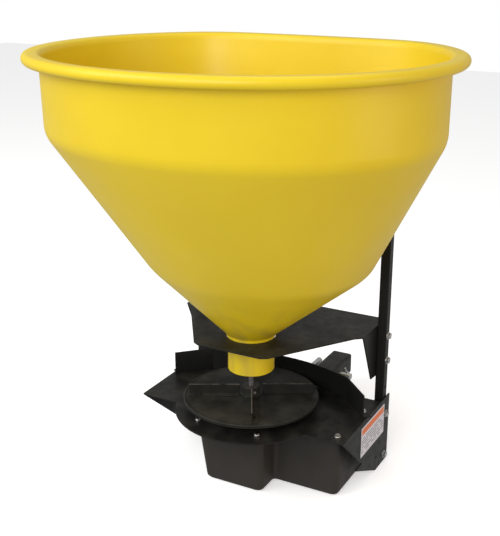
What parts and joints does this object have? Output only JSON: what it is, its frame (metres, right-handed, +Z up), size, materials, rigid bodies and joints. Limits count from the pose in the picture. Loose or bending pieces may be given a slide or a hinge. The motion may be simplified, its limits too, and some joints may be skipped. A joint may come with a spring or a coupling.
{
  "type": "tailgate salt spreader",
  "caption": "Yellow moulded hopper on a black hitch frame, with a motor-driven finned spinner and guard below its spout.",
  "frame": {"origin": "where the spinner's axis meets the floor, on the flat underside of the motor enclosure", "axes": "+Z up along the spinner's axis; +Y towards the truck, along the hitch shank; -Y is the side salt is thrown from"},
  "size_m": [0.817, 0.8998, 0.897],
  "materials": {
    "hopper_plastic": "rotationally moulded polyethylene, satin",
    "frame_coat": "black powder coat",
    "spinner_coat": "black coat, dusty satin",
    "enclosure_plastic": "moulded, fine grain",
    "zinc_plate": "zinc plated",
    "bare_steel": "machined",
    "wheel_bronze": "machined bronze",
    "cast_housing": "as cast",
    "seal_rubber": "moulded",
    "label_sheet": "printed film with no lettering"
  },
  "bodies": {
    "frame": {"hopper": "hopper_plastic", "saddle_plate": "frame_coat", "upright_left": "frame_coat", "upright_right": "frame_coat", "hopper_pad_left": "frame_coat", "hopper_pad_right": "frame_coat", "deck": "frame_coat", "spinner_guard": "frame_coat", "cross_tube": "frame_coat", "hitch_shank": "frame_coat", "motor_enclosure": "enclosure_plastic", "gearbox_case": "cast_housing", "gearbox_lid": "cast_housing", "motor_can": "bare_steel", "motor_end_cap": "enclosure_plastic", "upper_bearing": "bare_steel", "lower_bearing": "bare_steel", "shaft_seal": "seal_rubber", "worm_bearing_inner": "bare_steel", "worm_bearing_outer": "bare_steel", "cable_gland": "enclosure_plastic", "side_label": "label_sheet", "saddle_bolt_left_upper": "zinc_plate", "saddle_bolt_left_lower": "zinc_plate", "saddle_bolt_right_upper": "zinc_plate", "saddle_bolt_right_lower": "zinc_plate", "frame_bolt_left_upper": "zinc_plate", "frame_bolt_left_lower": "zinc_plate", "frame_bolt_right_upper": "zinc_plate", "frame_bolt_right_lower": "zinc_plate", "guard_bolt_left": "zinc_plate", "guard_bolt_right": "zinc_plate", "deck_bolt_front_left": "zinc_plate", "deck_bolt_front_right": "zinc_plate", "deck_bolt_side_right": "zinc_plate", "hopper_bolt_left": "zinc_plate", "hopper_bolt_right": "zinc_plate"},
    "spinner": {"spinner_disc": "spinner_coat", "spinner_fin_1": "spinner_coat", "spinner_fin_2": "spinner_coat", "spinner_fin_3": "spinner_coat", "spinner_fin_4": "spinner_coat", "spinner_hub": "spinner_coat", "hub_set_screw": "zinc_plate", "spinner_shaft": "bare_steel", "agitator_bar": "bare_steel", "worm_wheel": "wheel_bronze"},
    "armature": {"motor_armature": "bare_steel", "worm": "bare_steel"},
    "pin": {"hitch_pin": "zinc_plate"},
    "clip": {"pin_clip": "zinc_plate"}
  },
  "joints": [
    {"name": "spinner_turn", "type": "hinge", "parent": "frame", "child": "spinner", "pos_m": [0, 0, 0.185], "axis": [0, 0, 1], "continuous": true},
    {"name": "motor_turn", "type": "hinge", "parent": "frame", "child": "armature", "pos_m": [0, 0.046, 0.078], "axis": [1, 0, 0], "continuous": true},
    {"name": "pin_slide", "type": "slide", "parent": "frame", "child": "pin", "axis": [-1, 0, 0], "range_m": [0, 0.014]},
    {"name": "clip_slide", "type": "slide", "parent": "pin", "child": "clip", "axis": [0, 0.7986, -0.6018], "range_m": [0, 0.03]}
  ],
  "couplings": [
    {"joint": "motor_turn", "follows": "spinner_turn", "ratio": 12}
  ]
}
